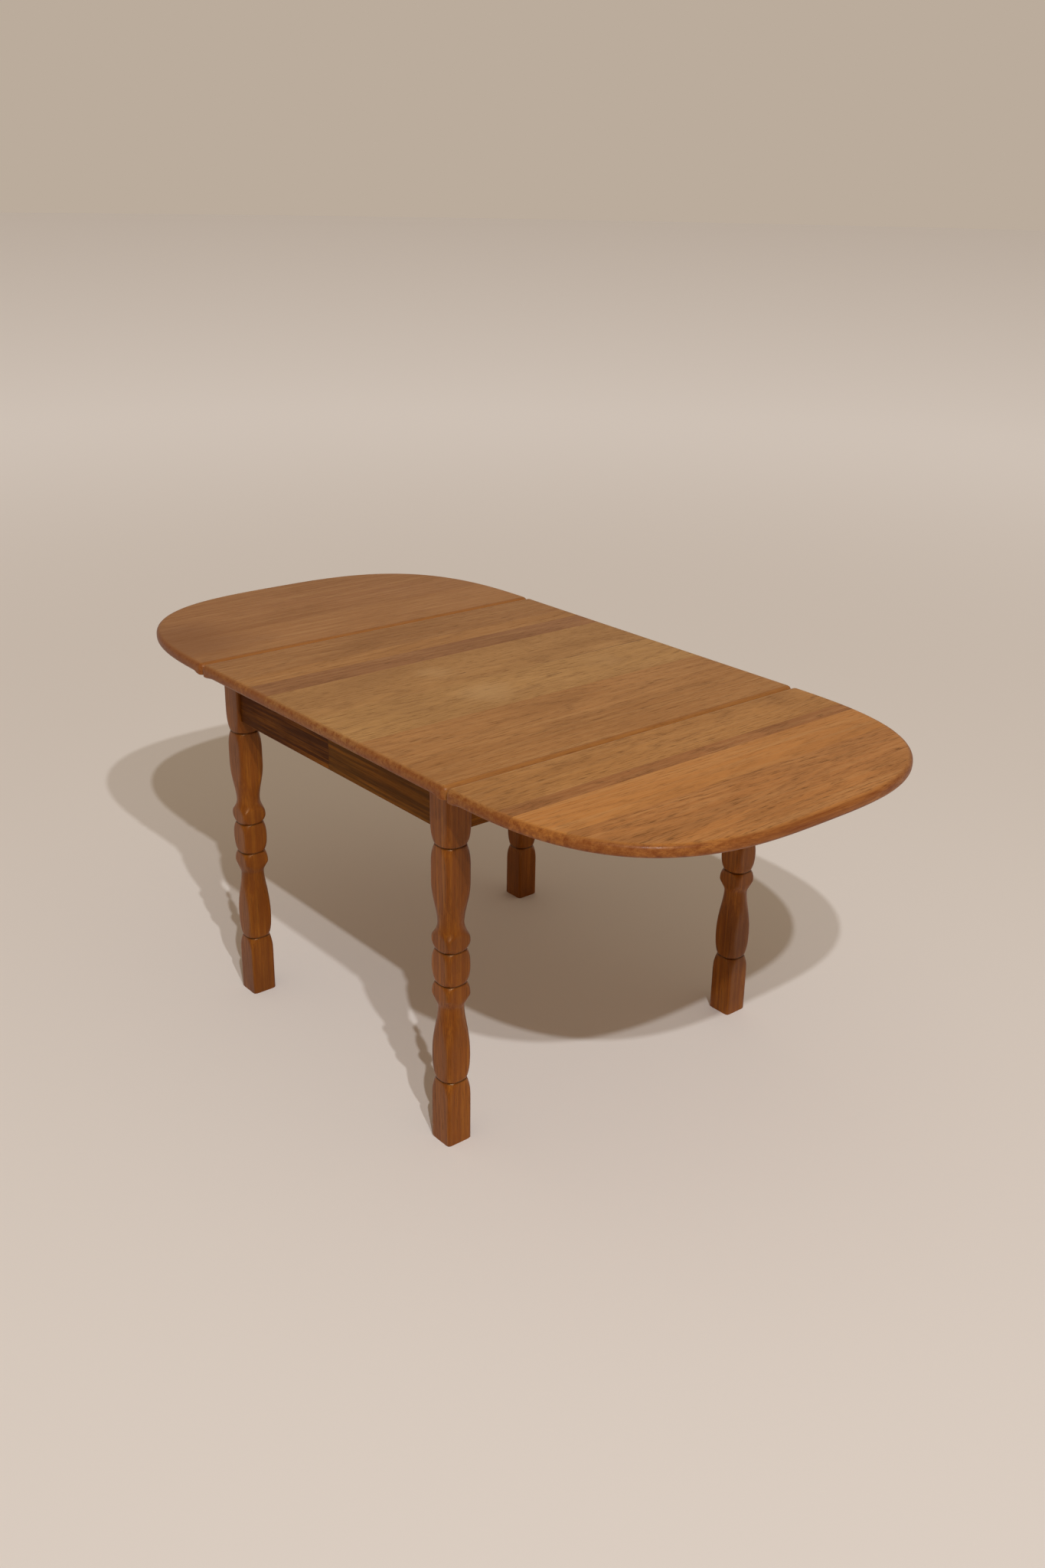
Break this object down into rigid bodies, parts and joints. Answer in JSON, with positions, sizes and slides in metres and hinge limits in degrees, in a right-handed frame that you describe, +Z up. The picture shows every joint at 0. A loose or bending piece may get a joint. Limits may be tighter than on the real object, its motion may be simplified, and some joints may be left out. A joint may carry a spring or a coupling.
{
  "type": "drop leaf table",
  "caption": "Oak drop leaf table: a fixed centre panel on four square-turned legs, a curved hinged leaf at each end, carried by pull-out wooden lopers.",
  "frame": {"origin": "on the floor, under the middle of the top", "axes": "+X along the table towards the right leaf, -Y towards the front long side, +Z up"},
  "size_m": [1.7018, 0.8636, 0.7366],
  "materials": {
    "top_oak": "satin lacquered oak boards",
    "leg_oak": "satin stained oak",
    "frame_oak": "satin oak",
    "inner_oak": "bare planed oak",
    "hinge_steel": "aged steel"
  },
  "bodies": {
    "frame": {"centre_panel": "top_oak", "leg_back_right": "leg_oak", "leg_back_left": "leg_oak", "leg_front_left": "leg_oak", "leg_front_right": "leg_oak", "apron_front": "frame_oak", "apron_back": "frame_oak", "apron_right": "frame_oak", "apron_left": "frame_oak", "cross_rail_right": "inner_oak", "cross_rail_left": "inner_oak", "corner_block_back_right": "inner_oak", "corner_block_back_left": "inner_oak", "corner_block_front_left": "inner_oak", "corner_block_front_right": "inner_oak", "top_button_right": "inner_oak", "top_button_left": "inner_oak", "top_button_back_1": "inner_oak", "top_button_back_2": "inner_oak", "top_button_back_3": "inner_oak", "top_button_front_1": "inner_oak", "top_button_front_2": "inner_oak", "top_button_front_3": "inner_oak", "hinge_right_1_fixed_plate": "hinge_steel", "hinge_right_2_fixed_plate": "hinge_steel", "hinge_right_3_fixed_plate": "hinge_steel", "hinge_left_1_fixed_plate": "hinge_steel", "hinge_left_2_fixed_plate": "hinge_steel", "hinge_left_3_fixed_plate": "hinge_steel", "hinge_right_1_pin": "hinge_steel", "hinge_right_2_pin": "hinge_steel", "hinge_right_3_pin": "hinge_steel", "hinge_left_1_pin": "hinge_steel", "hinge_left_2_pin": "hinge_steel", "hinge_left_3_pin": "hinge_steel"},
    "right_leaf": {"right_leaf": "top_oak", "hinge_right_1_leaf_plate": "hinge_steel", "hinge_right_2_leaf_plate": "hinge_steel", "hinge_right_3_leaf_plate": "hinge_steel"},
    "left_leaf": {"left_leaf": "top_oak", "hinge_left_1_leaf_plate": "hinge_steel", "hinge_left_2_leaf_plate": "hinge_steel", "hinge_left_3_leaf_plate": "hinge_steel"},
    "loper_right_front": {"loper_right_front": "inner_oak", "loper_stop_right_front": "leg_oak"},
    "loper_right_back": {"loper_right_back": "inner_oak", "loper_stop_right_back": "leg_oak"},
    "loper_left_front": {"loper_left_front": "inner_oak", "loper_stop_left_front": "leg_oak"},
    "loper_left_back": {"loper_left_back": "inner_oak", "loper_stop_left_back": "leg_oak"}
  },
  "joints": [
    {"name": "right_leaf_fold", "type": "hinge", "parent": "frame", "child": "right_leaf", "pos_m": [0.408, 0, 0.7083], "axis": [0, -1, 0], "range_deg": [-90, 0]},
    {"name": "left_leaf_fold", "type": "hinge", "parent": "frame", "child": "left_leaf", "pos_m": [-0.408, 0, 0.7083], "axis": [0, 1, 0], "range_deg": [-90, 0]},
    {"name": "loper_right_front_slide", "type": "slide", "parent": "frame", "child": "loper_right_front", "axis": [1, 0, 0], "range_m": [0, 0.26]},
    {"name": "loper_right_back_slide", "type": "slide", "parent": "frame", "child": "loper_right_back", "axis": [1, 0, 0], "range_m": [0, 0.26]},
    {"name": "loper_left_front_slide", "type": "slide", "parent": "frame", "child": "loper_left_front", "axis": [-1, 0, 0], "range_m": [0, 0.26]},
    {"name": "loper_left_back_slide", "type": "slide", "parent": "frame", "child": "loper_left_back", "axis": [-1, 0, 0], "range_m": [0, 0.26]}
  ]
}
